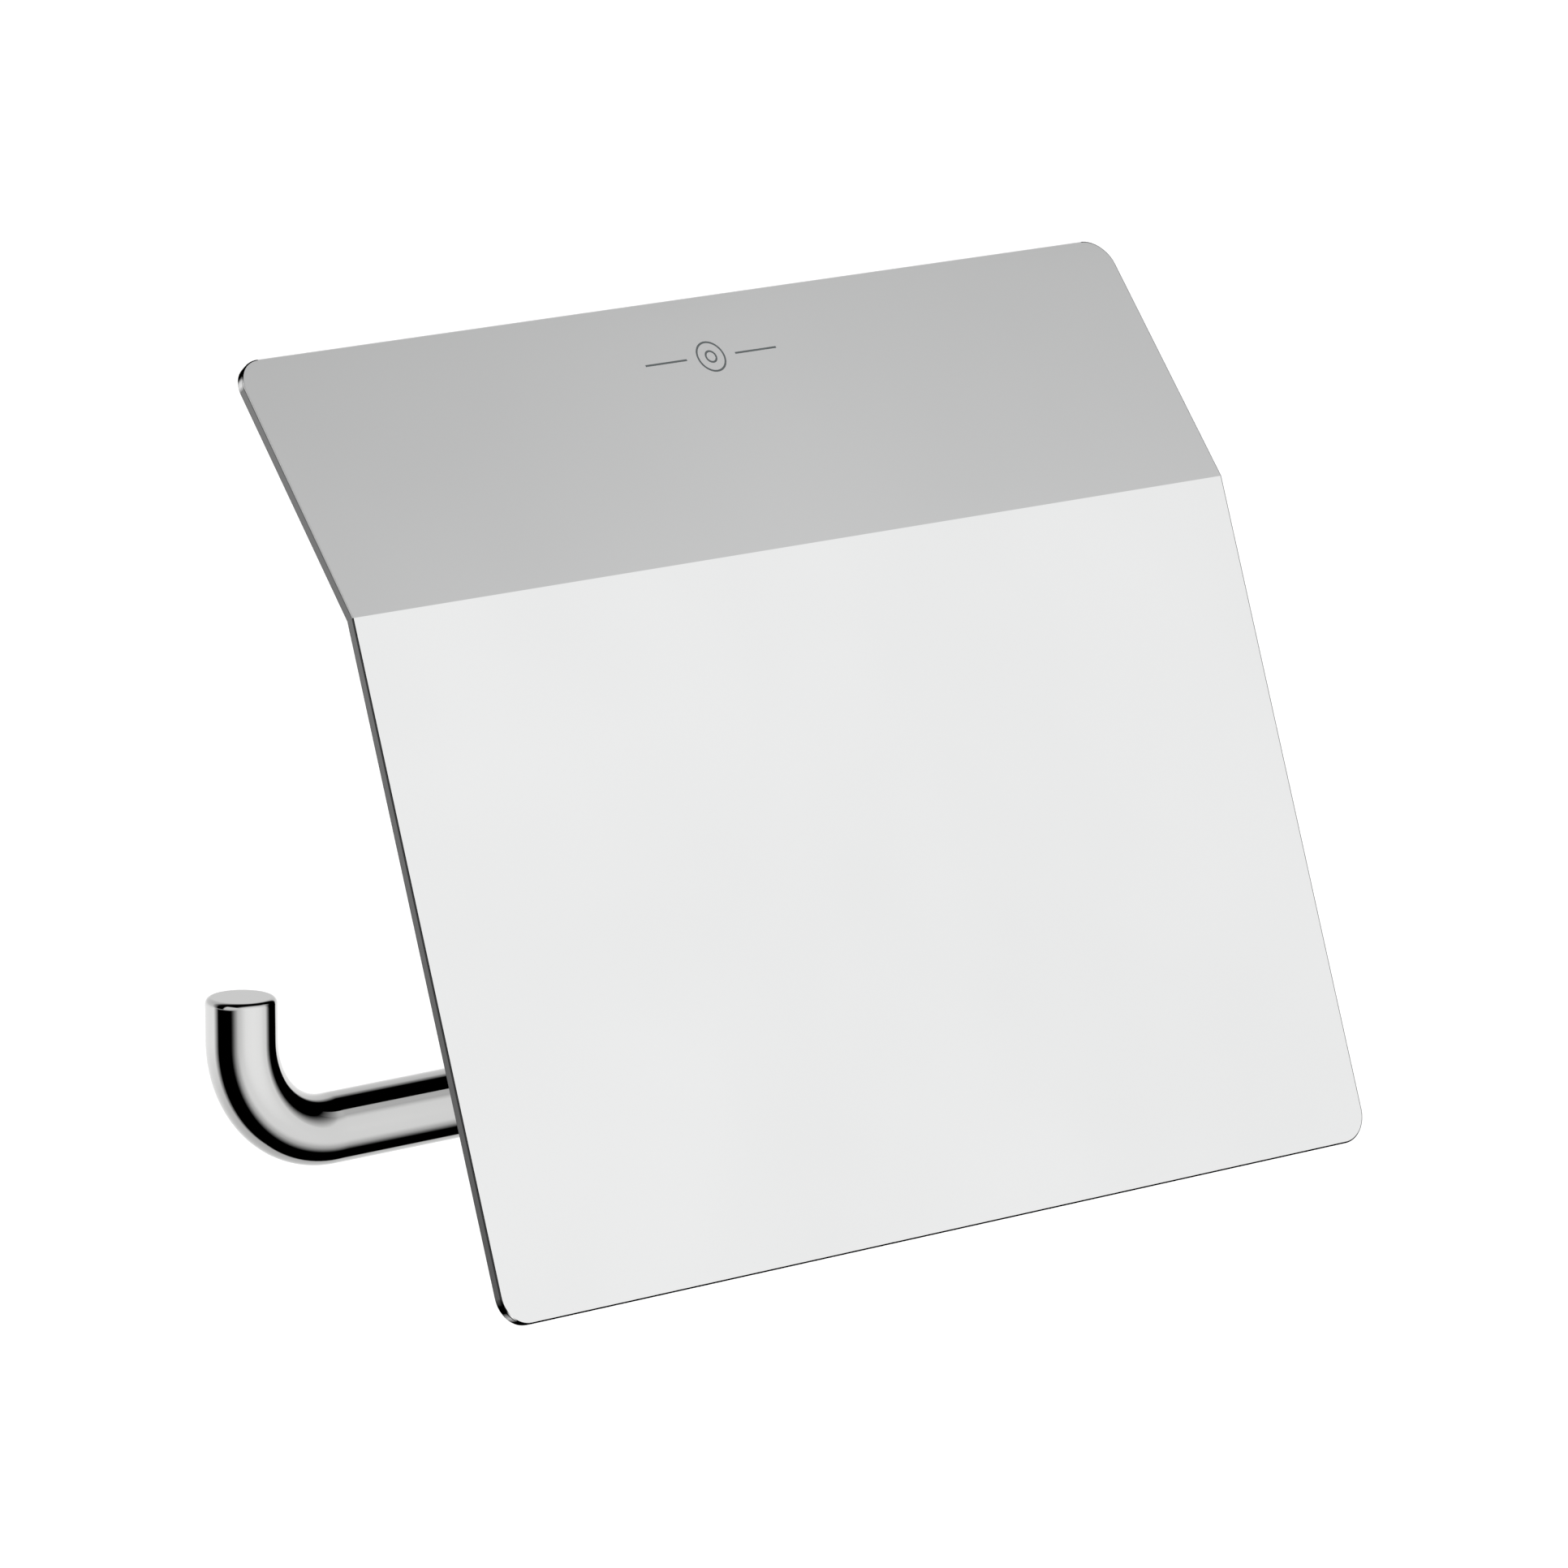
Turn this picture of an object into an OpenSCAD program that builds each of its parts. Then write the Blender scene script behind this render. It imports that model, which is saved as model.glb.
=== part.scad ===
// Wall-mounted toilet paper holder with a hinged sheet cover.
// Origin: on the wall, at the middle of the rosette. +X right, +Y into the wall, +Z up.
// The roll bar and the neck share the height Z = 0.

/* [Cover] */
// Width of the folded sheet cover
cover_w = 148; // [144:1:156]
// Length of the upper flange, from the fold to its rear edge
flange_len = 37.3; // [35:0.1:42]
// Length of the front panel, from the fold to its lower edge
panel_len = 90; // [80:0.5:95]
// Lean of the flange from the vertical, in degrees
flange_tilt = 39; // [37:0.5:41]
// Lean of the front panel from the vertical, in degrees
panel_tilt = 19; // [17:0.5:21]
// Thickness of the cover's sheet
sheet_t = 1.3; // [1:0.1:1.5]
// Radius of the cover's four corners
corner_r = 4; // [2:0.5:6]
// Inner radius of the fold
fold_r = 0.3; // [0.2:0.1:1]

/* [Roll bar] */
// Diameter of the round bar
bar_d = 9; // [8.8:0.1:9.2]
// Distance of the bar's axis from the wall
bar_reach = 62; // [60:1:66]
// Distance from the neck's axis to the axis of the upturned end
bar_len = 137; // [132:1:145]
// Radius of the bends, at the bar's axis
elbow_r = 13.5; // [12:0.5:14]
// Height of the upturned end above the bar's axis
upturn_h = 19; // [16:0.5:24]
// Rounding of the bar's end
tip_r = 0.8; // [0.3:0.1:1]

/* [Wall fixing] */
// Diameter of the rosette
rosette_d = 50; // [48:1:50]
// Depth of the rosette
rosette_depth = 9; // [8:0.5:10]
// Diameter of the neck
neck_d = 20; // [20:0.5:21]
// Length of the neck, from the wall to its front
neck_len = 72; // [71:0.5:73]
// Distance between the two wall screws
screw_pitch = 30; // [29:0.5:31]
// Width of the screw slots
slot_w = 5; // [4.5:0.1:5.5]
// Length of the screw slots
slot_len = 8; // [7.5:0.1:8.5]

/* [Hinge] */
// Distance from the fold to the hinge, along the flange
hinge_up = 22; // [20:0.5:24]
// Depth of the hinge's axis below the flange's upper face
hinge_down = 11; // [10.8:0.1:11.5]
// Angle of the raised cover at its rear stop, in degrees
open_angle = 100; // [90:1:105]
// Running clearance between the bar and a bush, on the radius
running_gap = 0.05; // [0.03:0.01:0.08]

/* [Hidden] */
$fn = 96;

bar_r = bar_d / 2;
neck_r = neck_d / 2;
slack = 0.05;

// Extra length of a tool that cuts right through a face
through = 1;

// The fold's outer edge lies just before the bar's axis. The cover's middle is left of the neck.
fold_before_bar = 4;
fold_y = -bar_reach - fold_before_bar;
fold_z = 65.5;
cover_mid_x = -48;

// Turn of the flange and of the panel from lying flat, and the bend between them
flange_turn = 90 - flange_tilt;
panel_turn = 90 - panel_tilt;
fold_turn = flange_tilt - panel_tilt;
fold_outer_r = fold_r + sheet_t;
fold_start = fold_outer_r * tan(fold_turn / 2);
fold_steps = 5;

// The hinge's axis runs along X, under the flange
hinge_y = fold_y + hinge_up * sin(flange_tilt) + hinge_down * cos(flange_tilt);
hinge_z = fold_z + hinge_up * cos(flange_tilt) - hinge_down * sin(flange_tilt);
underside = hinge_down - sheet_t;

// Wall plate: disc, boss and the boss's groove for the grub screw
plate_t = 3;
plate_r = 22;
boss_r = 6;
boss_len = 14;
groove_r = 4.8;
groove_y = -13.5;

// Neck and rosette. The rosette's hole clears the neck, and an O-ring fills the gap.
neck_rim = 1;
bar_past_axis = 6;
bar_end_space = 2;
rosette_wall = 1.2;
rosette_rim = 3;
rosette_gap = 0.2;
o_ring_r = 0.9;

// Grub screws, M5 x 5 with a hexagon socket
grub_r = 2.5;
grub_len = 5;
grub_key = 2.5;
grub_bore_r = grub_r + slack;
grub_groove_w = 2 * grub_r + 0.6;
hinge_grub_z = 3;

// Hinge bar: it stands in the neck and turns left under the flange
socket_depth = 12;
barrel_len = 16;
barrel_left_x = cover_mid_x - 34;
barrel_right_x = cover_mid_x + 14;
barrel_r = 8;
barrel_foot_w = 14;
bush_r = 6;
push_fit = 0.02;
bush_lip_r = 7.5;
bush_lip_t = 1;
end_play = 0.3;
hinge_bar_end = barrel_left_x - barrel_len / 2 - bush_lip_t - end_play;

// End washer and end screw, M4 x 10 with a button head and a hexagon socket
washer_t = 1.2;
washer_gap = 0.15;
screw_r = 2;
screw_len = 10;
screw_bore_len = 11;
head_r = 3.8;
head_t = 2.2;
head_rim = 1;
screw_key = 2.5;
key_depth = 1.3;

// Stop collar: a ring with one lobe under the flange, and one for the raised flange
collar_len = 8;
collar_r = 8.5;
collar_x = barrel_right_x + barrel_len / 2 + bush_lip_t + end_play;
pad_t = 1.5;
pad_w = 6;
pad_gap = 0.1;
lobe_top = underside - pad_gap - pad_t;
lobe_near = 4;
lobe_far = 12.5;
lobe_root = -4.5;

// Turns a shape drawn with Y across and Z up into a body that runs along +X
module along_x(length) {
    rotate([90, 0, 90])
        linear_extrude(length) children();
}

// A solid of revolution about an axis that points from the wall to the room
module about_neck_axis() {
    rotate([90, 0, 0])
        rotate_extrude() children();
}

// Half outline of a round end with a rounded rim
module rounded_end_outline(radius, length, rim) {
    square([radius, length - rim]);
    square([radius - rim, length]);
    translate([radius - rim, length - rim])
        circle(rim, $fn = 48);
}

// A quarter bend of the bar about the origin: upright at +X and level at +Z
module quarter_bend() {
    rotate([90, 0, 0])
        rotate_extrude(angle = 90)
            translate([elbow_r, 0])
                circle(bar_r);
}

module wall_plate() {
    color("silver")
        difference() {
            union() {
                rotate([90, 0, 0])
                    cylinder(h = plate_t, r = plate_r);
                rotate([90, 0, 0])
                    cylinder(h = plate_t + boss_len, r = boss_r);
            }
            for (side = [-1, 1])
                translate([side * screw_pitch / 2, through, 0])
                    screw_slot();
            translate([0, groove_y, 0])
                boss_groove();
        }
}

// A slot that runs along X through the wall plate
module screw_slot() {
    slot_run = (slot_len - slot_w) / 2;
    for (end = [-1, 1])
        translate([end * slot_run, 0, 0])
            rotate([90, 0, 0])
                cylinder(h = plate_t + 2 * through, r = slot_w / 2);
    translate([-slot_run, -plate_t - 2 * through, -slot_w / 2])
        cube([2 * slot_run, plate_t + 2 * through, slot_w]);
}

module boss_groove() {
    rotate([90, 0, 0])
        difference() {
            cylinder(h = grub_groove_w, r = boss_r + through, center = true);
            cylinder(h = grub_groove_w + 2 * through, r = groove_r, center = true);
        }
}

module neck() {
    color("gainsboro")
        difference() {
            translate([0, -plate_t, 0])
                about_neck_axis()
                    rounded_end_outline(neck_r, neck_len - plate_t, neck_rim);
            // Socket for the wall plate's boss
            translate([0, through - plate_t, 0])
                rotate([90, 0, 0])
                    cylinder(h = boss_len + 2 * through, r = boss_r + slack);
            // Socket for the roll bar, from the left
            translate([-neck_r - through, -bar_reach, 0])
                rotate([0, 90, 0])
                    cylinder(h = neck_r + through + bar_past_axis + bar_end_space, r = bar_r + slack);
            // Socket for the hinge bar, from above
            translate([0, hinge_y, neck_r - socket_depth])
                cylinder(h = socket_depth + through, r = bar_r + slack);
            for (at = [groove_y, -bar_reach])
                translate([0, at, -neck_r - through])
                    cylinder(h = neck_r, r = grub_bore_r);
            translate([0, hinge_y, hinge_grub_z])
                rotate([0, 90, 0])
                    cylinder(h = neck_r + through, r = grub_bore_r);
        }
}

module rosette() {
    r = rosette_d / 2;
    inner_depth = rosette_depth - rosette_wall;
    color("gainsboro")
        about_neck_axis()
            difference() {
                rounded_end_outline(r, rosette_depth, rosette_rim);
                translate([0, -through])
                    rounded_end_outline(r - rosette_wall, inner_depth + through, rosette_rim - rosette_wall);
                translate([-through, -through])
                    square([neck_r + rosette_gap + through, rosette_depth + 2 * through]);
            }
}

module rosette_o_ring() {
    color("dimgray")
        translate([0, rosette_wall + o_ring_r - rosette_depth, 0])
            about_neck_axis()
                translate([neck_r + o_ring_r, 0])
                    circle(o_ring_r, $fn = 32);
}

module roll_bar() {
    color("gainsboro")
        translate([0, -bar_reach, 0]) {
            translate([elbow_r - bar_len, 0, 0])
                rotate([0, 90, 0])
                    cylinder(h = bar_len - elbow_r + bar_past_axis, r = bar_r);
            translate([elbow_r - bar_len, 0, elbow_r])
                rotate([0, 180, 0])
                    quarter_bend();
            translate([-bar_len, 0, elbow_r])
                rotate_extrude()
                    rounded_end_outline(bar_r, upturn_h - elbow_r, tip_r);
        }
}

module hinge_bar() {
    color("gainsboro")
        difference() {
            union() {
                translate([0, hinge_y, neck_r - socket_depth + slack])
                    cylinder(h = hinge_z - elbow_r - neck_r + socket_depth - slack, r = bar_r);
                translate([-elbow_r, hinge_y, hinge_z - elbow_r])
                    quarter_bend();
                translate([hinge_bar_end, hinge_y, hinge_z])
                    rotate([0, 90, 0])
                        cylinder(h = -elbow_r - hinge_bar_end, r = bar_r);
            }
            translate([hinge_bar_end - through, hinge_y, hinge_z])
                rotate([0, 90, 0])
                    cylinder(h = screw_bore_len + through, r = screw_r + slack);
        }
}

// Places a shape at the hinge's axis: Y runs up the flange and Z out through it
module at_hinge(x) {
    translate([x, hinge_y, hinge_z])
        rotate([flange_turn, 0, 0]) children();
}

// Outline of one lobe, as it meets the underside of the flange
module lobe_outline(side) {
    start = side < 0 ? -lobe_far : lobe_near;
    translate([start, lobe_root])
        square([lobe_far - lobe_near, lobe_top - lobe_root]);
    reach = side < 0 ? -lobe_near : 0;
    translate([reach, lobe_root])
        square([lobe_near, lobe_top - lobe_root]);
}

module stop_collar() {
    color("silver")
        at_hinge(collar_x)
            difference() {
                along_x(collar_len)
                    difference() {
                        union() {
                            circle(collar_r);
                            lobe_outline(-1);
                            rotate(-open_angle)
                                lobe_outline(1);
                        }
                        circle(bar_r + slack);
                    }
                translate([collar_len / 2, -lobe_far - through, 0])
                    rotate([-90, 0, 0])
                        cylinder(h = lobe_far + through, r = grub_bore_r);
            }
}

module stop_pads() {
    pad_mid = (lobe_near + lobe_far) / 2;
    color("dimgray")
        at_hinge(collar_x + (collar_len - pad_w) / 2) {
            along_x(pad_w)
                translate([-pad_mid - pad_w / 2, lobe_top])
                    square([pad_w, pad_t]);
            along_x(pad_w)
                rotate(-open_angle)
                    translate([pad_mid - pad_w / 2, lobe_top])
                        square([pad_w, pad_t]);
        }
}

// Radius over the corners of a hexagon socket, from its width over the flats
function hex_r(key) = key / 2 / cos(30);

// One grub screw: its tip is at the origin and its socket opens at the far end
module grub_screw() {
    difference() {
        cylinder(h = grub_len, r = grub_r);
        translate([0, 0, grub_len / 2])
            cylinder(h = grub_len, r = hex_r(grub_key), $fn = 6);
    }
}

module grub_screws() {
    color("dimgray") {
        translate([0, groove_y, -groove_r - slack])
            rotate([180, 0, 0]) grub_screw();
        translate([0, -bar_reach, -bar_r - slack])
            rotate([180, 0, 0]) grub_screw();
        translate([bar_r + slack, hinge_y, hinge_grub_z])
            rotate([0, 90, 0]) grub_screw();
        at_hinge(collar_x + collar_len / 2)
            translate([0, -bar_r - slack, 0])
                rotate([90, 0, 0]) grub_screw();
    }
}

module end_washer() {
    color("silver")
        translate([hinge_bar_end, hinge_y, hinge_z])
            rotate([0, -90, 0])
                difference() {
                    cylinder(h = washer_t, r = bush_lip_r);
                    translate([0, 0, -through])
                        cylinder(h = washer_t + 2 * through, r = screw_r + washer_gap);
                }
}

module end_screw() {
    color("silver")
        translate([hinge_bar_end - washer_t, hinge_y, hinge_z])
            rotate([0, -90, 0])
                difference() {
                    union() {
                        rotate_extrude()
                            rounded_end_outline(head_r, head_t, head_rim);
                        translate([0, 0, -screw_len])
                            cylinder(h = screw_len, r = screw_r);
                    }
                    translate([0, 0, head_t - key_depth])
                        cylinder(h = key_depth + through, r = hex_r(screw_key), $fn = 6);
                }
}

// Outline of a flat stretch of sheet, from the fold at Y = 0 to its rounded outer corners
module sheet_outline(length) {
    half = cover_w / 2;
    translate([-half, 0])
        square([cover_w, length - corner_r]);
    translate([corner_r - half, 0])
        square([cover_w - 2 * corner_r, length]);
    for (side = [-1, 1])
        translate([side * (half - corner_r), length - corner_r])
            circle(corner_r);
}

// Side view of the fold alone: Y across and Z up, with the fold's virtual outer edge at the origin
module fold_outline() {
    centre = fold_start * [cos(flange_turn), sin(flange_turn)] + fold_outer_r * fold_ray(0);
    outer = [for (step = [0 : fold_steps]) centre - fold_outer_r * fold_ray(step)];
    inner = [for (step = [fold_steps : -1 : 0]) centre - fold_r * fold_ray(step)];
    polygon(concat(outer, inner));
}

// Unit vector from the fold's outer face to its centre, turned from the flange to the panel
function fold_ray(step) =
    [sin(flange_turn + step * fold_turn / fold_steps), -cos(flange_turn + step * fold_turn / fold_steps)];

module cover() {
    color("whitesmoke")
        translate([cover_mid_x, fold_y, fold_z]) {
            rotate([flange_turn, 0, 0])
                translate([0, fold_start, -sheet_t])
                    linear_extrude(sheet_t)
                        sheet_outline(flange_len - fold_start);
            rotate([panel_turn, 0, 0])
                translate([0, -fold_start, -sheet_t])
                    linear_extrude(sheet_t)
                        mirror([0, 1]) sheet_outline(panel_len - fold_start);
            translate([-cover_w / 2, 0, 0])
                along_x(cover_w)
                    fold_outline();
        }
}

// A bored barrel with a flat foot, welded under the flange
module hinge_barrel(x) {
    color("silver")
        at_hinge(x - barrel_len / 2)
            along_x(barrel_len)
                difference() {
                    union() {
                        circle(barrel_r);
                        translate([-barrel_foot_w / 2, 0])
                            square([barrel_foot_w, underside]);
                    }
                    circle(bush_r + push_fit);
                }
}

module hinge_barrel_left() {
    hinge_barrel(barrel_left_x);
}

module hinge_barrel_right() {
    hinge_barrel(barrel_right_x);
}

// A plastic sleeve with a lip at its outer end: side is -1 for the left and 1 for the right
module hinge_bush(x, side) {
    color("ivory")
        translate([x, hinge_y, hinge_z])
            rotate([0, side * 90, 0])
                difference() {
                    union() {
                        translate([0, 0, -barrel_len / 2])
                            cylinder(h = barrel_len, r = bush_r);
                        translate([0, 0, barrel_len / 2])
                            cylinder(h = bush_lip_t, r = bush_lip_r);
                    }
                    cylinder(h = 2 * barrel_len, r = bar_r + running_gap, center = true);
                }
}

module hinge_bush_left() {
    hinge_bush(barrel_left_x, -1);
}

module hinge_bush_right() {
    hinge_bush(barrel_right_x, 1);
}

wall_plate();
neck();
rosette();
rosette_o_ring();
roll_bar();
hinge_bar();
stop_collar();
stop_pads();
grub_screws();
end_washer();
end_screw();
cover();
hinge_barrel_left();
hinge_barrel_right();
hinge_bush_left();
hinge_bush_right();
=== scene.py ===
import math
import bmesh
import bpy
from mathutils import Matrix, Vector


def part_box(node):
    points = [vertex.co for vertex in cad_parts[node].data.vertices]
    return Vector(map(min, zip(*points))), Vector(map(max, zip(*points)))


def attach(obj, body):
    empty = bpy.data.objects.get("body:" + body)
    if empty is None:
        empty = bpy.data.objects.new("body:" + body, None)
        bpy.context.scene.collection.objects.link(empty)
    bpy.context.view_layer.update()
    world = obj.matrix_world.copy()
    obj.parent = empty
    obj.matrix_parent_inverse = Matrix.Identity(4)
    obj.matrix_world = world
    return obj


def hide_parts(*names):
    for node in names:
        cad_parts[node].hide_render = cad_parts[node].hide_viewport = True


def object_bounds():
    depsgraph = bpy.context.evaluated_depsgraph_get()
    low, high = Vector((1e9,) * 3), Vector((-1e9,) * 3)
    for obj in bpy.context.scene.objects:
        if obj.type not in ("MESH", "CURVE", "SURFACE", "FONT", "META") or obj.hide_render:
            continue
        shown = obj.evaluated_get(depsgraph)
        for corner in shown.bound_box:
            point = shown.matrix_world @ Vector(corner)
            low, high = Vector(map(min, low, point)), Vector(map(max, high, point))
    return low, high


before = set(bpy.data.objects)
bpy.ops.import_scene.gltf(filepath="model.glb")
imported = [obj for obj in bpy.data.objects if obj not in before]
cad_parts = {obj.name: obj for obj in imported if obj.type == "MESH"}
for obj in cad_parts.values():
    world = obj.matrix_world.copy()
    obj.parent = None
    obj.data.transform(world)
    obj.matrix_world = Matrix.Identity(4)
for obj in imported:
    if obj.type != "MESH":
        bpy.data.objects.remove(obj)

cad_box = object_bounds()
MM = 0.001

# ---------------------------------------------------------------- camera
# A long lens keeps the folded sheet's edges nearly parallel.
# It looks at the cover from the front left, a little from above.
cover_low, cover_high = [Vector(corner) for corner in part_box("cover")]
camera_azimuth = math.radians(41.13)
camera_elevation = math.radians(12.12)
camera_distance = 1.3573
aim_offset = Vector((-6.0, -0.9, -1.8)) * MM
camera_target = (cover_low + cover_high) / 2 + aim_offset
towards_camera = Vector((-math.sin(camera_azimuth) * math.cos(camera_elevation),
                         -math.cos(camera_azimuth) * math.cos(camera_elevation),
                         math.sin(camera_elevation)))
camera_data = bpy.data.cameras.new("product_camera")
camera_data.sensor_width = 36
camera_data.lens = 243.04
camera_data.clip_end = 60
camera = bpy.data.objects.new("product_camera", camera_data)
camera.location = camera_target + camera_distance * towards_camera
camera.rotation_euler = (-towards_camera).to_track_quat("-Z", "Y").to_euler()
bpy.context.collection.objects.link(camera)
bpy.context.scene.camera = camera
bpy.context.scene.view_settings.view_transform = "Standard"

# ---------------------------------------------------------------- studio
# A tent for chrome ware: a broad soft front light that fades towards its sides, a dark gap
# all round it, and a white backdrop behind the object.


def add_node(tree, kind, inputs, output=0, **settings):
    """Adds a node, sets or links its inputs, and returns one of its outputs."""
    node = tree.nodes.new(kind)
    for name, setting in settings.items():
        setattr(node, name, setting)
    for place, value in inputs.items():
        if isinstance(value, bpy.types.NodeSocket):
            tree.links.new(value, node.inputs[place])
        else:
            node.inputs[place].default_value = value
    return node.outputs[output]


world = bpy.data.worlds.new("chrome_tent")
bpy.context.scene.world = world
world.use_nodes = True
tent = world.node_tree
tent.nodes.clear()


def tent_math(operation, a, b=0.0, clamp=False):
    return add_node(tent, "ShaderNodeMath", {0: a, 1: b}, operation=operation, use_clamp=clamp)


def grey_steps(tree, value, stops):
    """Brightness along a value, straight between stops of (value, brightness)."""
    low, high = stops[0][0], stops[-1][0]
    peak = max(brightness for _, brightness in stops)
    place = add_node(tree, "ShaderNodeMapRange", {0: value, 1: low, 2: high, 3: 0.0, 4: 1.0})
    ramp = tree.nodes.new("ShaderNodeValToRGB")
    tree.links.new(place, ramp.inputs[0])
    elements = ramp.color_ramp.elements
    while len(elements) < len(stops):
        elements.new(0.5)
    for element, (at, brightness) in zip(elements, stops):
        element.position = (at - low) / (high - low)
        element.color = (brightness / peak, brightness / peak, brightness / peak, 1)
    return add_node(tree, "ShaderNodeMath", {0: ramp.outputs[0], 1: peak}, operation="MULTIPLY")


sky_direction = add_node(tent, "ShaderNodeTexCoord", {})
sky_split = tent.nodes.new("ShaderNodeSeparateXYZ")
tent.links.new(sky_direction, sky_split.inputs[0])
sky_x, sky_y, sky_z = sky_split.outputs

# The front light is round: brightest straight ahead, and fading towards its rim and its two sides.
straight_ahead = tent_math("MULTIPLY", sky_y, -1.0)
round_light = grey_steps(tent, straight_ahead, [
    (0.3, 0), (0.35, 0.07), (0.4, 0.19), (0.46, 0.36), (0.5, 0.5), (0.545, 0.58), (0.58, 0.68),
    (0.62, 0.79), (0.66, 0.875), (0.78, 0.89), (0.9, 1.0), (1, 1.05)])
side_fade = grey_steps(tent, sky_x, [
    (-0.94, 0), (-0.896, 0.33), (-0.851, 0.5), (-0.807, 0.66), (-0.756, 0.75), (-0.664, 0.85),
    (-0.56, 0.94), (-0.4, 1), (0.5, 1), (0.69, 0.97), (0.723, 0.72), (0.807, 0.32), (0.86, 0)])
front_light = tent_math("MULTIPLY", round_light, side_fade)

# On the right a second light reaches higher, for the sloping flange.
# Its place is the turn up from straight ahead, in degrees.
to_degrees = 180 / math.pi
turn_up = tent_math("MULTIPLY", tent_math("ARCTAN2", sky_z, straight_ahead), to_degrees)
high_light = grey_steps(tent, turn_up, [
    (40, 0), (44, 0.57), (54, 0.6), (63.7, 0.585), (65.6, 0.53), (65.9, 0.52), (66.1, 0)])
high_light_span = grey_steps(tent, sky_x, [
    (0.2, 0), (0.4, 0.3), (0.56, 0.85), (0.61, 0.92), (0.645, 1.0), (0.69, 0.94), (0.73, 0.7),
    (0.8, 0.3), (0.86, 0)])
front_light = tent_math("MAXIMUM", front_light, tent_math("MULTIPLY", high_light, high_light_span))

# The backdrop starts further back on the left, overhead and underfoot. It fades in softly on the
# left and overhead, and is a little dimmer above the horizon and far below it.
edge_ahead, edge_upper_left, edge_low = 0.12, 0.33, 0.17
fade_ahead, fade_left, fade_top = 0.06, 0.4, 0.35
left_share = tent_math("MAXIMUM", tent_math("MULTIPLY", sky_x, -1.0), 0.0)
top_share = tent_math("MAXIMUM", sky_z, 0.0)
low_share = tent_math("MAXIMUM", tent_math("MULTIPLY", sky_z, -1.0), 0.0)
upper_left_share = tent_math("ADD", left_share, top_share)
backdrop_edge = tent_math("ADD", tent_math("MULTIPLY", upper_left_share, edge_upper_left),
                          tent_math("ADD", tent_math("MULTIPLY", low_share, edge_low), edge_ahead))
fade_width = tent_math("ADD", tent_math("MULTIPLY", left_share, fade_left),
                       tent_math("ADD", tent_math("MULTIPLY", top_share, fade_top), fade_ahead))
backdrop_fade = tent_math("DIVIDE", tent_math("SUBTRACT", sky_y, backdrop_edge), fade_width, clamp=True)
backdrop_grey = grey_steps(tent, sky_z, [
    (-1, 0.5), (-0.63, 0.7), (-0.45, 0.86), (-0.23, 1.0), (0, 0.93), (0.21, 0.74), (0.43, 0.67),
    (0.8, 0.55), (1, 0.5)])
backdrop = tent_math("MULTIPLY", backdrop_fade, backdrop_grey)
tent_light = tent_math("ADD", front_light, backdrop)

# Fill lights in the gap: one low on the right, one high on the left, and one level with the left
# side. Only the sides of the pieces mirror them. Their place is the turn about the front-to-back
# axis, in degrees: 0 is right, 90 is overhead, 180 is left.
turn_round = tent_math("MULTIPLY", tent_math("ARCTAN2", sky_z, sky_x), to_degrees)
side_fill = grey_steps(tent, turn_round, [
    (-180, 0), (-43, 0), (-38, 0.5), (-22, 0.5), (-17, 0), (124, 0), (134, 0.75), (150, 0.75),
    (176, 0.6), (180, 0.55)])
front_half = grey_steps(tent, sky_y, [(0.05, 1), (0.15, 0)])
left_fill = grey_steps(tent, turn_round, [(-180, 0.55), (-178, 0.5), (-170, 0), (0, 0)])
fill = tent_math("MAXIMUM", tent_math("MULTIPLY", side_fill, front_half), left_fill)
tent_light = tent_math("MAXIMUM", tent_light, fill)

seen_by_camera = add_node(tent, "ShaderNodeLightPath", {}, output="Is Camera Ray")
plain_white = add_node(tent, "ShaderNodeBackground", {"Color": (1, 1, 1, 1), "Strength": 1.0})
tent_background = add_node(tent, "ShaderNodeBackground", {"Color": tent_light, "Strength": 1.0})
world_mix = add_node(tent, "ShaderNodeMixShader", {0: seen_by_camera, 1: tent_background, 2: plain_white})
world_out = tent.nodes.new("ShaderNodeOutputWorld")
tent.links.new(world_mix, world_out.inputs[0])

# A soft overhead light for the floor and the dull pieces. Polished metal doesn't mirror it.
overhead_data = bpy.data.lights.new("overhead_light", "SUN")
overhead_data.energy = 2.8
overhead_data.angle = math.radians(60)
overhead = bpy.data.objects.new("overhead_light", overhead_data)
overhead.rotation_euler = (math.radians(20), math.radians(-12), 0)
overhead.visible_glossy = False
bpy.context.collection.objects.link(overhead)

# ---------------------------------------------------------------- floor
# A plain pale studio floor of painted board, well below the wall-hung object.
floor_drop = 0.45
floor_radius = 14
bm = bmesh.new()
bmesh.ops.create_circle(bm, cap_ends=True, segments=96, radius=floor_radius)
bmesh.ops.translate(bm, verts=bm.verts, vec=(0, 0, cad_box[0][2] - floor_drop))
floor_mesh = bpy.data.meshes.new("studio_floor")
bm.to_mesh(floor_mesh)
bm.free()
studio_floor = bpy.data.objects.new("studio_floor", floor_mesh)
bpy.context.collection.objects.link(studio_floor)
studio_floor.visible_glossy = False
floor_paint = bpy.data.materials.new("floor_paint")
floor_paint.use_nodes = True
floor_shader = floor_paint.node_tree.nodes["Principled BSDF"]
floor_shader.inputs["Base Color"].default_value = (0.98, 0.98, 0.98, 1)
floor_shader.inputs["Roughness"].default_value = 0.9
floor_mesh.materials.append(floor_paint)

# ---------------------------------------------------------------- wall plate
# The hidden fixing: a turned steel disc with a boss, and two slots for the wall screws.
# It is zinc plated, so it stays satin. The neck slides on to its boss.
plate_edge_r = 0.25 * MM
merge_gap = 0.002 * MM
MICRON = 0.001 * MM


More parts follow.
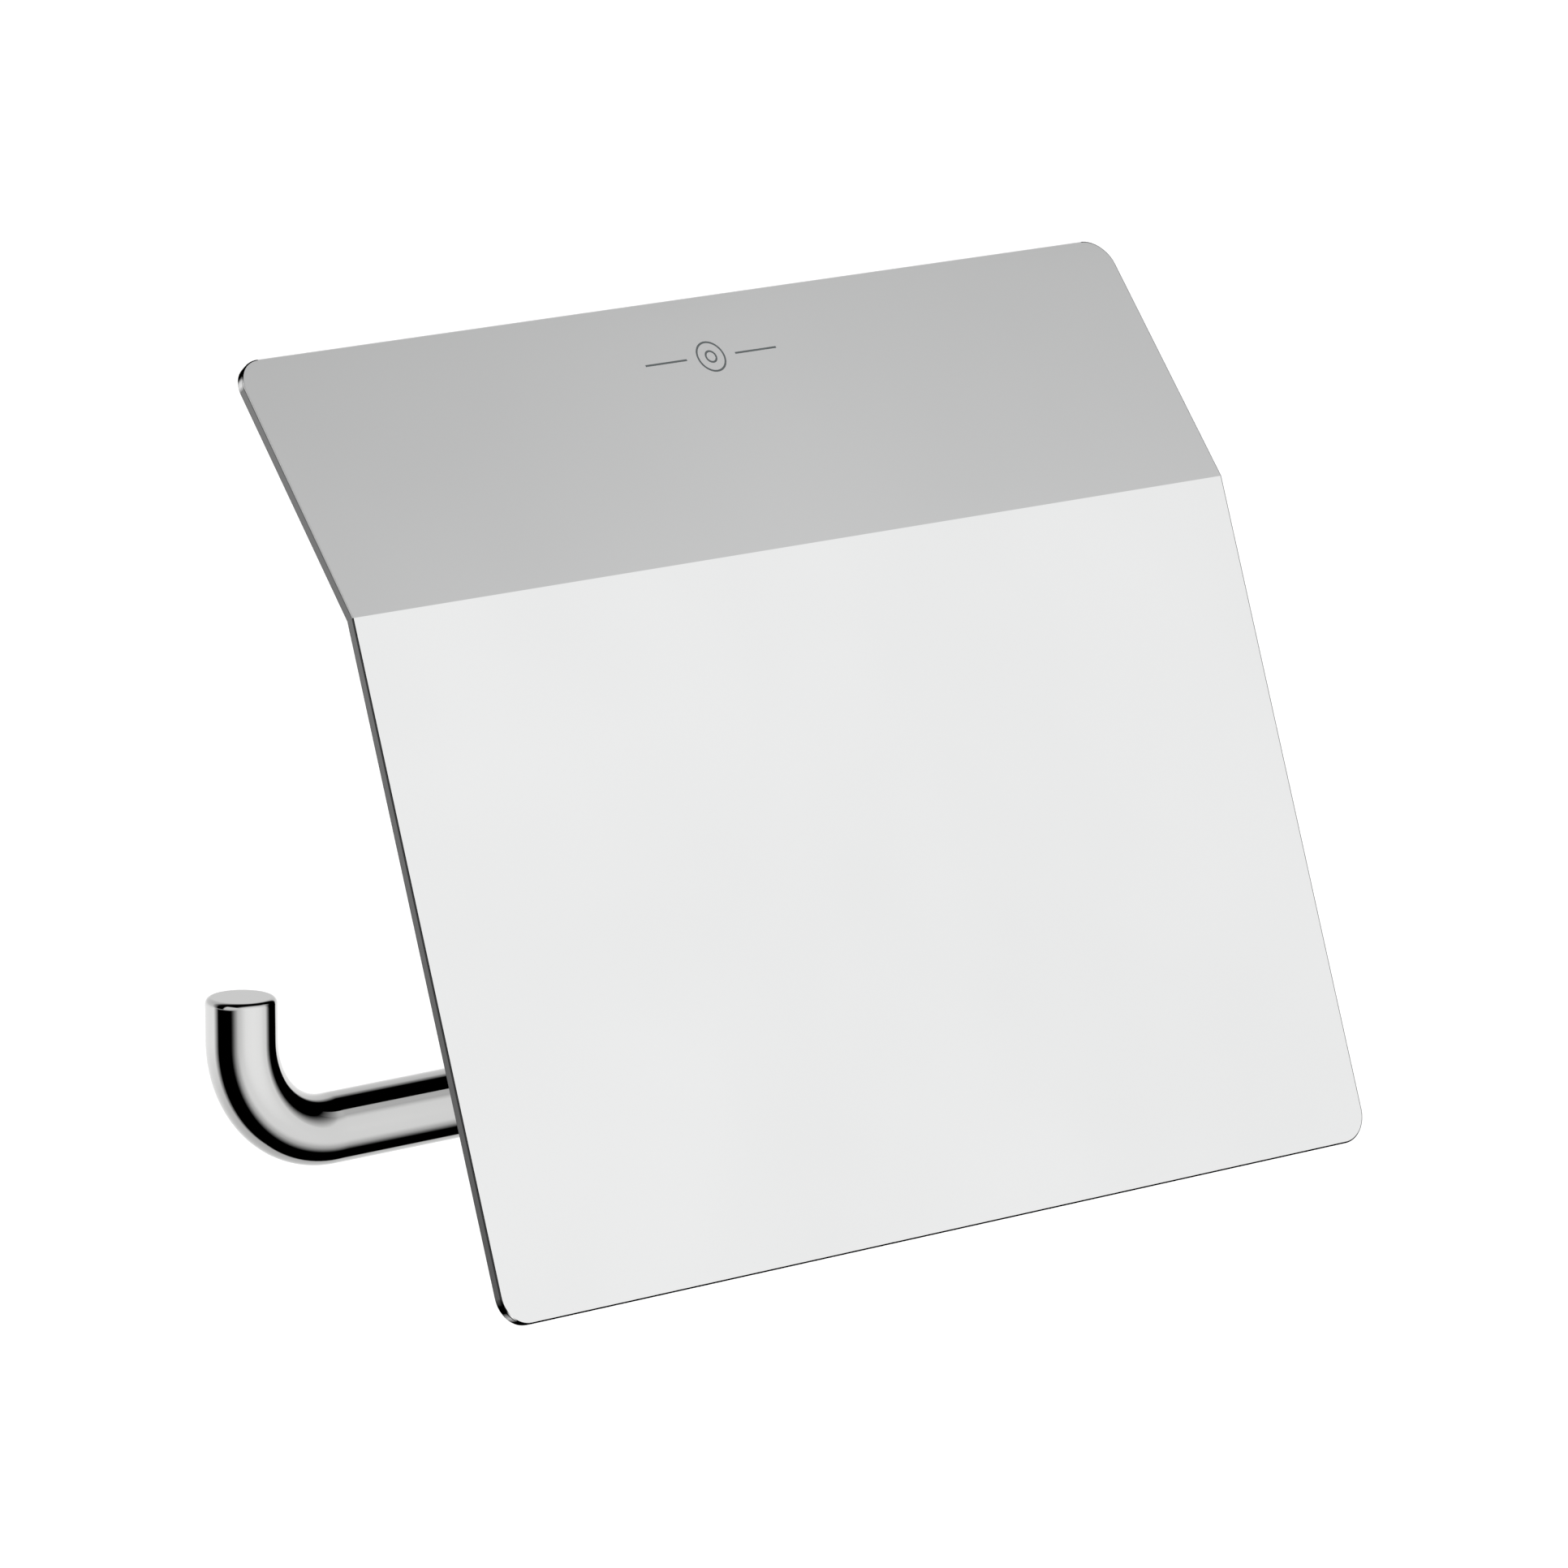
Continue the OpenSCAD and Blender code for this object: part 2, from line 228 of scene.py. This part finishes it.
def surface_noise(tree, scale, detail):
    """Noise that is fixed to the piece, as a grey value from 0 to 1."""
    place = add_node(tree, "ShaderNodeTexCoord", {}, output="Object")
    return add_node(tree, "ShaderNodeTexNoise", {"Vector": place, "Scale": scale, "Detail": detail})


def wander(tree, haze, lowest, highest):
    """Follows the middle of the noise from one value to another."""
    return add_node(tree, "ShaderNodeMapRange", {0: haze, 1: 0.3, 2: 0.7, 3: lowest, 4: highest})


def ground_surface(name, roughness, metallic, bump, patch, grain):
    """A material without its colour: roughness that wanders, and a fine bump in micrometres."""
    material = bpy.data.materials.new(name)
    material.use_nodes = True
    tree = material.node_tree
    shader = tree.nodes["Principled BSDF"]
    shader.inputs["Metallic"].default_value = metallic
    haze = surface_noise(tree, patch, 2.0)
    tree.links.new(wander(tree, haze, *roughness), shader.inputs["Roughness"])
    if bump:
        grit = surface_noise(tree, grain, 3.0)
        relief = add_node(tree, "ShaderNodeBump",
                          {"Strength": 1.0, "Distance": bump * MICRON, "Height": grit})
        tree.links.new(relief, shader.inputs["Normal"])
    return material, haze


def finish_of(name, dark, light, roughness, metallic, bump=0.0, patch=60.0):
    """A finish whose colour also wanders, between a dark and a light one."""
    material, haze = ground_surface(name, roughness, metallic, bump, patch, grain=900.0)
    tree = material.node_tree
    share = wander(tree, haze, 0.0, 1.0)
    colour = add_node(tree, "ShaderNodeMix", {0: share, 6: (*dark, 1), 7: (*light, 1)}, output=2,
                      data_type="RGBA")
    tree.links.new(colour, tree.nodes["Principled BSDF"].inputs["Base Color"])
    return material


def sharp_edges(bm, low=40, high=180):
    """Edges where two faces meet at an angle between two limits, in degrees."""
    return [edge for edge in bm.edges if len(edge.link_faces) == 2
            and math.radians(low) < edge.calc_face_angle(0) < math.radians(high)]


def ease(bm, edges, radius, segments=3):
    """Rounds edges."""
    bmesh.ops.bevel(bm, geom=edges, affect="EDGES", offset=radius, segments=segments, profile=0.5,
                    material=-1, clamp_overlap=True)


def settle(name, bm, body, slot, materials, *nodes):
    """Makes the finished piece, which rides on a body and stands for its CAD nodes."""
    crease = math.radians(35)
    for face in bm.faces:
        face.smooth = True
    for edge in bm.edges:
        edge.smooth = edge.calc_face_angle(0) < crease
    mesh = bpy.data.meshes.new(name)
    bm.to_mesh(mesh)
    bm.free()
    for material in materials:
        mesh.materials.append(material)
    piece = bpy.data.objects.new(name, mesh)
    bpy.context.collection.objects.link(piece)
    piece.visible_glossy = False
    even = piece.modifiers.new("even_normals", "WEIGHTED_NORMAL")
    even.keep_sharp = True
    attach(piece, body)
    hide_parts(*nodes)
    return piece


def machined_copy(node, edge_r, segments=2):
    """A merged copy of a CAD node, with its sharp edges eased."""
    bm = bmesh.new()
    bm.from_mesh(bpy.data.objects[node].data)
    bmesh.ops.remove_doubles(bm, verts=bm.verts, dist=merge_gap)
    bmesh.ops.dissolve_limit(bm, angle_limit=math.radians(1.0), verts=bm.verts, edges=bm.edges)
    ease(bm, sharp_edges(bm), edge_r, segments)
    return bm


zinc = finish_of("zinc_plating", (0.56, 0.57, 0.59), (0.66, 0.67, 0.68), (0.28, 0.42), 1.0, bump=2.0)
settle("wall_plate_disc", machined_copy("wall_plate", plate_edge_r), "wall_mount", "plate_steel", [zinc],
       "wall_plate")

# ---------------------------------------------------------------- neck
# A turned and bored brass bar, chrome plated, that stands out from the wall plate.
# Both bent bars sit in its bores, held by grub screws.
neck_edge_r = 0.15 * MM
# The same plating as the cover's chrome, which is painted brighter than this one as a lit copy of it.
bar_chrome = finish_of("bar_chrome", (0.705, 0.705, 0.70), (0.73, 0.73, 0.725), (0.02, 0.045), 1.0,
                       patch=45.0)
settle("neck_post", machined_copy("neck", neck_edge_r), "wall_mount", "chrome", [bar_chrome], "neck")

# ---------------------------------------------------------------- rosette
# A drawn brass cup, polished and chrome plated, that hides the wall plate and its screws.
# It slides along the neck and sits against the wall.
rosette_low, rosette_high = [Vector(corner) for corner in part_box("rosette")]
rosette_r = (rosette_high.x - rosette_low.x) / 2
rosette_depth = rosette_high.y - rosette_low.y
rosette_wall = 1.2 * MM
rosette_rim = 3 * MM
rosette_hole_r = 10.2 * MM
rosette_edge_r = 0.2 * MM
out_of_wall = Matrix.Rotation(math.radians(90), 4, "X")


def turned(outline, steps=96):
    """Turns a closed outline of (radius, height) points about the upright axis."""
    bm = bmesh.new()
    corners = [bm.verts.new((radius, 0, height)) for radius, height in outline]
    next_corners = corners[1:] + corners[:1]
    sides = [bm.edges.new(ends) for ends in zip(corners, next_corners)]
    bmesh.ops.spin(bm, geom=corners + sides, cent=(0, 0, 0), axis=(0, 0, 1), angle=math.tau, steps=steps,
                   use_merge=True, use_duplicate=False)
    bmesh.ops.remove_doubles(bm, verts=bm.verts, dist=merge_gap)
    bmesh.ops.recalc_face_normals(bm, faces=bm.faces)
    return bm


def rings(bm, radius, height):
    """The circular edges of a turned shape at one radius and height."""
    near = 0.01 * MM
    return [edge for edge in bm.edges if all(
        abs(math.hypot(vert.co.x, vert.co.y) - radius) < near and abs(vert.co.z - height) < near
        for vert in edge.verts)]


rosette_inner_r = rosette_r - rosette_wall
rosette_inner_depth = rosette_depth - rosette_wall
bm = turned([(rosette_r, 0), (rosette_r, rosette_depth), (rosette_hole_r, rosette_depth),
             (rosette_hole_r, rosette_inner_depth), (rosette_inner_r, rosette_inner_depth),
             (rosette_inner_r, 0)])
ease(bm, rings(bm, rosette_r, rosette_depth), rosette_rim, 12)
ease(bm, rings(bm, rosette_inner_r, rosette_inner_depth), rosette_rim - rosette_wall, 8)
ease(bm, sharp_edges(bm), rosette_edge_r)
bmesh.ops.transform(bm, matrix=out_of_wall, verts=bm.verts)
settle("rosette_cup", bm, "wall_mount", "chrome", [bar_chrome], "rosette")

# ---------------------------------------------------------------- rosette O-ring
# A black rubber ring in the rosette's hole. It grips the neck and keeps the rosette in place.
ring_low, ring_high = [Vector(corner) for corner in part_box("rosette_o_ring")]
ring_section_r = (ring_high.y - ring_low.y) / 2
ring_middle_r = (ring_high.x - ring_low.x) / 2 - ring_section_r
black_rubber = finish_of("black_rubber", (0.018, 0.018, 0.018), (0.035, 0.035, 0.034), (0.5, 0.68), 0.0,
                         bump=6.0)
bm = bmesh.new()
section_place = Matrix.Translation((ring_middle_r, 0, -(ring_low.y + ring_high.y) / 2))
section = bmesh.ops.create_circle(bm, segments=24, radius=ring_section_r,
                                  matrix=section_place @ out_of_wall)["verts"]
bmesh.ops.spin(bm, geom=section + list(bm.edges), cent=(0, 0, 0), axis=(0, 0, 1), angle=math.tau,
               steps=96, use_merge=True, use_duplicate=False)
bmesh.ops.remove_doubles(bm, verts=bm.verts, dist=merge_gap)
bmesh.ops.recalc_face_normals(bm, faces=bm.faces)
bmesh.ops.transform(bm, matrix=out_of_wall, verts=bm.verts)
settle("rosette_ring", bm, "wall_mount", "rubber", [black_rubber], "rosette_o_ring")

# ---------------------------------------------------------------- roll bar
# A round 9 mm bar that the roll turns on, bent up at its free end so that the roll stays on.
# It is faced off flat with a small rounded rim, polished and chrome plated, and sits in the neck.
bar_r = 4.5 * MM
elbow_r = 13.5 * MM
tip_r = 0.8 * MM
bar_sides = 96
bend_steps = 32


def bent_bar(start, run, bend_centre, bend_angle, last_run):
    """A round bar: straight along run, bent about the Y direction, then straight along last_run."""
    bm = bmesh.new()
    along_run = run.to_track_quat("Z", "Y").to_matrix().to_4x4()
    bmesh.ops.create_circle(bm, cap_ends=True, segments=bar_sides, radius=bar_r,
                            matrix=Matrix.Translation(start) @ along_run)

    def open_ring(made):
        """The edges and the vertices of the end that was just made."""
        verts = {item for item in made if isinstance(item, bmesh.types.BMVert)}
        edges = [edge for edge in bm.edges if edge.verts[0] in verts and edge.verts[1] in verts]
        return edges, list(verts)

    edges, verts = open_ring(bmesh.ops.extrude_edge_only(bm, edges=bm.edges[:])["geom"])
    bmesh.ops.translate(bm, verts=verts, vec=run)
    bend = bmesh.ops.spin(bm, geom=edges, cent=bend_centre, axis=(0, 1, 0), angle=bend_angle,
                          steps=bend_steps, use_merge=False, use_duplicate=False)
    edges, _ = open_ring(bend["geom_last"])
    edges, verts = open_ring(bmesh.ops.extrude_edge_only(bm, edges=edges)["geom"])
    bmesh.ops.translate(bm, verts=verts, vec=last_run)
    cap = bmesh.ops.contextual_create(bm, geom=edges)["faces"]
    bmesh.ops.recalc_face_normals(bm, faces=bm.faces)
    return bm, cap[0]


bar_low, bar_high = [Vector(corner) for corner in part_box("roll_bar")]
bar_axis = Vector((0, (bar_low.y + bar_high.y) / 2, bar_low.z + bar_r))
post_x = bar_low.x + bar_r
bm, tip = bent_bar(start=bar_axis + Vector((bar_high.x, 0, 0)),
                   run=Vector((post_x + elbow_r - bar_high.x, 0, 0)),
                   bend_centre=bar_axis + Vector((post_x + elbow_r, 0, elbow_r)),
                   bend_angle=math.radians(90),
                   last_run=Vector((0, 0, bar_high.z - bar_axis.z - elbow_r)))
ease(bm, list(tip.edges), tip_r, 6)
settle("roll_bar_rod", bm, "wall_mount", "chrome", [bar_chrome], "roll_bar")

# ---------------------------------------------------------------- hinge bar
# A second bar of the same stock. It stands in the neck and turns left under the flange,
# where it is the pin that the cover swings on. Its end is drilled and tapped for the end screw.
pin_low, pin_high = [Vector(corner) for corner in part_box("hinge_bar")]
pin_y = (pin_low.y + pin_high.y) / 2
pin_z = pin_high.z - bar_r
end_screw_r = 2 * MM
end_screw_bore = 11 * MM
pin_edge_r = 0.2 * MM
bm, tip = bent_bar(start=Vector((0, pin_y, pin_low.z)),
                   run=Vector((0, 0, pin_z - elbow_r - pin_low.z)),
                   bend_centre=Vector((-elbow_r, pin_y, pin_z - elbow_r)),
                   bend_angle=math.radians(-90),
                   last_run=Vector((pin_low.x + elbow_r, 0, 0)))
bmesh.ops.inset_individual(bm, faces=[tip], thickness=bar_r - end_screw_r)
bored = bmesh.ops.extrude_face_region(bm, geom=[tip])["geom"]
bmesh.ops.translate(bm, verts=[item for item in bored if isinstance(item, bmesh.types.BMVert)],
                    vec=(end_screw_bore, 0, 0))
bmesh.ops.delete(bm, geom=[tip], context="FACES_ONLY")
bmesh.ops.recalc_face_normals(bm, faces=bm.faces)
ease(bm, sharp_edges(bm), pin_edge_r)
settle("hinge_pin_bar", bm, "wall_mount", "chrome", [bar_chrome], "hinge_bar")

# ---------------------------------------------------------------- stop collar
# A milled brass ring fixed on the hinge bar by a grub screw, and chrome plated.
# One lobe carries the lowered cover, and the other stops it when it is raised.
collar_edge_r = 0.25 * MM
settle("stop_collar_ring", machined_copy("stop_collar", collar_edge_r), "wall_mount", "chrome",
       [bar_chrome], "stop_collar")

# ---------------------------------------------------------------- stop pads
# Two small rubber pads glued on the collar's lobes, so the cover closes without a knock.
pad_edge_r = 0.35 * MM
settle("stop_pad_pair", machined_copy("stop_pads", pad_edge_r, 4), "wall_mount", "rubber",
       [black_rubber], "stop_pads")

# ---------------------------------------------------------------- grub screws
# Four M5 grub screws of blackened steel with hexagon sockets, turned in flush or nearly so.
grub_edge_r = 0.15 * MM
black_steel = finish_of("blackened_steel", (0.10, 0.10, 0.105), (0.17, 0.17, 0.175), (0.25, 0.4), 1.0,
                        bump=2.0)
settle("grub_screw_set", machined_copy("grub_screws", grub_edge_r), "wall_mount", "screw_steel",
       [black_steel], "grub_screws")

# ---------------------------------------------------------------- end washer
# A turned stainless washer that keeps the cover's left bush on the hinge bar.
washer_low, washer_high = [Vector(corner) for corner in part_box("end_washer")]
washer_r = (washer_high.z - washer_low.z) / 2
washer_t = washer_high.x - washer_low.x
along_left = Matrix.Rotation(math.radians(-90), 4, "Y")
stainless = finish_of("stainless_steel", (0.50, 0.51, 0.52), (0.60, 0.61, 0.62), (0.16, 0.3), 1.0,
                      bump=1.5)
washer_play = 0.15 * MM
washer_edge_r = 0.25 * MM
washer_hole_r = end_screw_r + washer_play
bm = turned([(washer_r, 0), (washer_r, washer_t), (washer_hole_r, washer_t), (washer_hole_r, 0)])
ease(bm, sharp_edges(bm), washer_edge_r)
on_pin_end = Matrix.Translation((washer_high.x, pin_y, pin_z)) @ along_left
bmesh.ops.transform(bm, matrix=on_pin_end, verts=bm.verts)
settle("end_washer_disc", bm, "wall_mount", "screw_steel", [stainless], "end_washer")

# ---------------------------------------------------------------- end screw
# An M4 button-head screw of stainless steel, in the hinge bar's tapped end.
screw_edge_r = 0.15 * MM
settle("end_screw_button", machined_copy("end_screw", screw_edge_r), "wall_mount", "screw_steel",
       [stainless], "end_screw")

# ---------------------------------------------------------------- cover
# A folded cover: a sloping flange above and a front panel below, with one crisp fold and four
# rounded corners. It is cut from 1.3 mm sheet, deburred, folded, polished and chrome plated.
flange_tilt = math.radians(39)
panel_tilt = math.radians(19)
flange_len = 37.3 * MM
panel_len = 90 * MM
sheet_t = 1.3 * MM
corner_r = 4 * MM
fold_outer_r = 0.4 * MM
fold_inner_r = 0.3 * MM
rim_r = 0.2 * MM
half_width = (cover_high.x - cover_low.x) / 2
up_the_flange = Vector((0, math.sin(flange_tilt), math.cos(flange_tilt)))
up_the_panel = Vector((0, math.sin(panel_tilt), math.cos(panel_tilt)))
fold_place = Vector(((cover_low.x + cover_high.x) / 2, cover_low.y + panel_len * up_the_panel.y,
                     cover_high.z - flange_len * up_the_flange.z))
# The cover's chrome is painted brighter than the bars' chrome: a lit copy of the same plating.
cover_chrome_painted_bright = finish_of("cover_chrome_painted_bright", (0.945, 0.95, 0.95), (0.965, 0.97, 0.97), (0.015, 0.04), 1.0,
                         patch=30.0)
back_chrome = finish_of("cover_back_chrome", (0.74, 0.745, 0.745), (0.80, 0.805, 0.805), (0.3, 0.42), 1.0,
                        bump=1.0, patch=25.0)

# The cut edge is ground, and its colour is painted light and shade: it is painted darker than
# the faces, its sides have painted shade that grows lighter upwards, its ends are painted black,
# and each round corner has one painted highlight streak. Its place is the height, and the share of
# the corner that is passed: 0 where the corner starts and 1 at the side.
cut_edge, _ = ground_surface("cut_edge_painted_light", (0.12, 0.2), 1.0, bump=0.6, patch=60.0, grain=2500.0)
edge_tree = cut_edge.node_tree


def edge_math(operation, a, b=0.0):
    return add_node(edge_tree, "ShaderNodeMath", {0: a, 1: b}, operation=operation)


edge_split = edge_tree.nodes.new("ShaderNodeSeparateXYZ")
edge_tree.links.new(add_node(edge_tree, "ShaderNodeTexCoord", {}, output="Object"), edge_split.inputs[0])
edge_x, _, edge_z = edge_split.outputs
from_middle = edge_math("ABSOLUTE", edge_math("SUBTRACT", edge_x, fold_place.x))
corner_share = edge_math("DIVIDE", edge_math("SUBTRACT", from_middle, half_width - corner_r), corner_r)
whole_corner = 0.997
# Painted shade along the sides, lighter upwards, and painted highlights on the round corners.
side_painted_shade = grey_steps(edge_tree, edge_z, [(-0.02, 0.115), (0.06, 0.19), (0.094, 0.24)])
lower_painted_highlight = grey_steps(edge_tree, corner_share, [
    (0, 0), (0.55, 0), (0.62, 0.5), (0.72, 1), (0.8, 0.5), (0.86, 0.01), (0.96, 0), (1, 0.1)])
upper_painted_highlight = grey_steps(edge_tree, corner_share, [
    (0, 0), (0.86, 0), (0.9, 0.3), (0.94, 0.95), (0.98, 0.9), (1, 0.3)])
# Upper corners take the upper painted highlight, lower corners the lower one, the sides the painted
# shade.
is_upper = edge_math("GREATER_THAN", edge_z, fold_place.z)
corner_painted_highlight = add_node(edge_tree, "ShaderNodeMix", {0: is_upper, 2: lower_painted_highlight, 3: upper_painted_highlight})
is_side = edge_math("GREATER_THAN", corner_share, whole_corner)
edge_painted_light = add_node(edge_tree, "ShaderNodeMix", {0: is_side, 2: corner_painted_highlight, 3: side_painted_shade})
edge_shader = edge_tree.nodes["Principled BSDF"]
edge_tree.links.new(edge_painted_light, edge_shader.inputs["Base Color"])
# A near black edge tint keeps the painted shade dark at grazing angles too.
edge_shader.inputs["Specular Tint"].default_value = (0.02, 0.02, 0.02, 1)

# The sheet: two flat stretches that meet at the fold, with their outer corners cut round, made
# thick inwards. Then the fold and the rims are rounded.
polished, cut, satin = 0, 1, 2
facing = 0.9
bm = bmesh.new()
bmesh.ops.create_grid(bm, x_segments=1, y_segments=2, size=1)
for vert in bm.verts:
    row = {1: up_the_flange * flange_len, 0: Vector(), -1: -up_the_panel * panel_len}[round(vert.co.y)]
    vert.co = row + Vector((math.copysign(half_width, vert.co.x), 0, 0))
corners = [vert for vert in bm.verts if len(vert.link_faces) == 1]
bmesh.ops.bevel(bm, geom=corners, affect="VERTICES", offset=corner_r, segments=16, profile=0.5,
                material=-1)
bmesh.ops.recalc_face_normals(bm, faces=bm.faces)
if sum(face.normal.y * face.calc_area() for face in bm.faces) > 0:
    bmesh.ops.reverse_faces(bm, faces=bm.faces)
outer_normals = [face.normal.copy() for face in bm.faces]
bmesh.ops.solidify(bm, geom=bm.faces[:], thickness=sheet_t)
for face in bm.faces:
    alignment = max((face.normal.dot(normal) for normal in outer_normals), key=abs)
    face.material_index = polished if alignment > facing else satin if alignment < -facing else cut
fold_share = math.tan((flange_tilt - panel_tilt) / 2)
for fold in [edge for edge in sharp_edges(bm, low=5, high=60) if edge.calc_length() > half_width]:
    is_outer = max(vert.co.y for vert in fold.verts) < sheet_t / 2
    ease(bm, [fold], (fold_outer_r if is_outer else fold_inner_r) * fold_share, 8)
rim = bmesh.ops.bevel(bm, geom=sharp_edges(bm, low=60), affect="EDGES", offset=rim_r, segments=4,
                      profile=0.5, material=-1)["faces"]
for face in rim:
    middle = face.calc_center_median()
    on_rear_edge = middle.z > 0 and abs(middle.x) < half_width - corner_r
    face.material_index = polished if on_rear_edge else cut
bmesh.ops.translate(bm, verts=bm.verts, vec=fold_place)
cover_sheet = settle("cover_sheet", bm, "cover_assembly", "chrome", [cover_chrome_painted_bright, cut_edge, back_chrome],
                     "cover")

# A soft panel light overhead that only the cover mirrors, when it is raised or seen from the front.
panel_light_data = bpy.data.lights.new("cover_panel_light", "AREA")
panel_light_data.shape = "RECTANGLE"
panel_light_data.size = 5
panel_light_data.size_y = 2.1
panel_light_data.energy = 21
panel_light = bpy.data.objects.new("cover_panel_light", panel_light_data)
panel_light.location = (0, 0.25, 2)
panel_light.visible_camera = False
bpy.context.collection.objects.link(panel_light)
lit_by_panel = bpy.data.collections.new("lit_by_panel")
lit_by_panel.objects.link(cover_sheet)
panel_light.light_linking.receiver_collection = lit_by_panel

# ---------------------------------------------------------------- flange mark
# A small plain pictogram of a paper roll between two short strokes, etched into the flange.
# The etching is matt, so it shows a little darker than the polish round it.
mark_up_flange = 28.4 * MM
mark_line = 0.28 * MM
mark_rise = 0.01 * MM
roll_mark_r = 2.3 * MM
core_mark_r = 0.95 * MM
stroke_len = 7 * MM
stroke_middle = 7.6 * MM
etched = finish_of("etched_chrome", (0.36, 0.40, 0.41), (0.42, 0.46, 0.47), (0.4, 0.55), 1.0, bump=2.0)
bm = bmesh.new()
for radius in (roll_mark_r, core_mark_r):
    inner_r = radius - mark_line
    ring = turned([(radius, -mark_rise), (radius, mark_rise),
                   (inner_r, mark_rise), (inner_r, -mark_rise)], steps=64)
    ring_mesh = bpy.data.meshes.new("ring")
    ring.to_mesh(ring_mesh)
    ring.free()
    bm.from_mesh(ring_mesh)
    bpy.data.meshes.remove(ring_mesh)
stroke_size = Matrix.Diagonal((stroke_len, mark_line, 2 * mark_rise, 1))
for stroke_x in (-stroke_middle, stroke_middle):
    bmesh.ops.create_cube(bm, size=1, matrix=Matrix.Translation((stroke_x, 0, 0)) @ stroke_size)
on_flange = (Matrix.Translation(fold_place + up_the_flange * mark_up_flange)
             @ Matrix.Rotation(math.radians(90) - flange_tilt, 4, "X"))
bmesh.ops.transform(bm, matrix=on_flange, verts=bm.verts)
settle("flange_mark", bm, "cover_assembly", "chrome", [etched])

# ---------------------------------------------------------------- hinge barrels
# Two bored brass barrels, each with a flat foot that is soldered under the flange.
# They are plated together with the cover.
barrel_edge_r = 0.3 * MM
for side in ("left", "right"):
    settle("barrel_" + side, machined_copy("hinge_barrel_" + side, barrel_edge_r, 3), "cover_assembly",
           "chrome", [bar_chrome], "hinge_barrel_" + side)

# ---------------------------------------------------------------- hinge bushes
# A moulded acetal sleeve in each barrel, with a thin lip at its outer end.
# The cover turns on them, so that metal never rubs on metal.
bush_bore_r = 4.55 * MM
bush_lip_t = 1 * MM
bush_body_r = 6 * MM
bush_edge_r = 0.15 * MM
acetal = finish_of("ivory_acetal", (0.80, 0.79, 0.745), (0.85, 0.84, 0.80), (0.34, 0.46), 0.0, bump=3.0,
                   patch=180.0)
acetal.node_tree.nodes["Principled BSDF"].inputs["Subsurface Weight"].default_value = 0.15
for side, towards in (("left", -1), ("right", 1)):
    bush_low, bush_high = [Vector(corner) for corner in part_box("hinge_bush_" + side)]
    bush_lip_r = (bush_high.z - bush_low.z) / 2
    bush_len = bush_high.x - bush_low.x
    inner_end = bush_low.x if towards > 0 else bush_high.x
    bm = turned([(bush_bore_r, 0), (bush_body_r, 0), (bush_body_r, bush_len - bush_lip_t),
                 (bush_lip_r, bush_len - bush_lip_t), (bush_lip_r, bush_len), (bush_bore_r, bush_len)])
    ease(bm, sharp_edges(bm), bush_edge_r)
    turn_out = Matrix.Rotation(math.radians(90 * towards), 4, "Y")
    on_pin = Matrix.Translation((inner_end, pin_y, pin_z)) @ turn_out
    bmesh.ops.transform(bm, matrix=on_pin, verts=bm.verts)
    settle("bush_" + side, bm, "cover_assembly", "bush_plastic", [acetal], "hinge_bush_" + side)
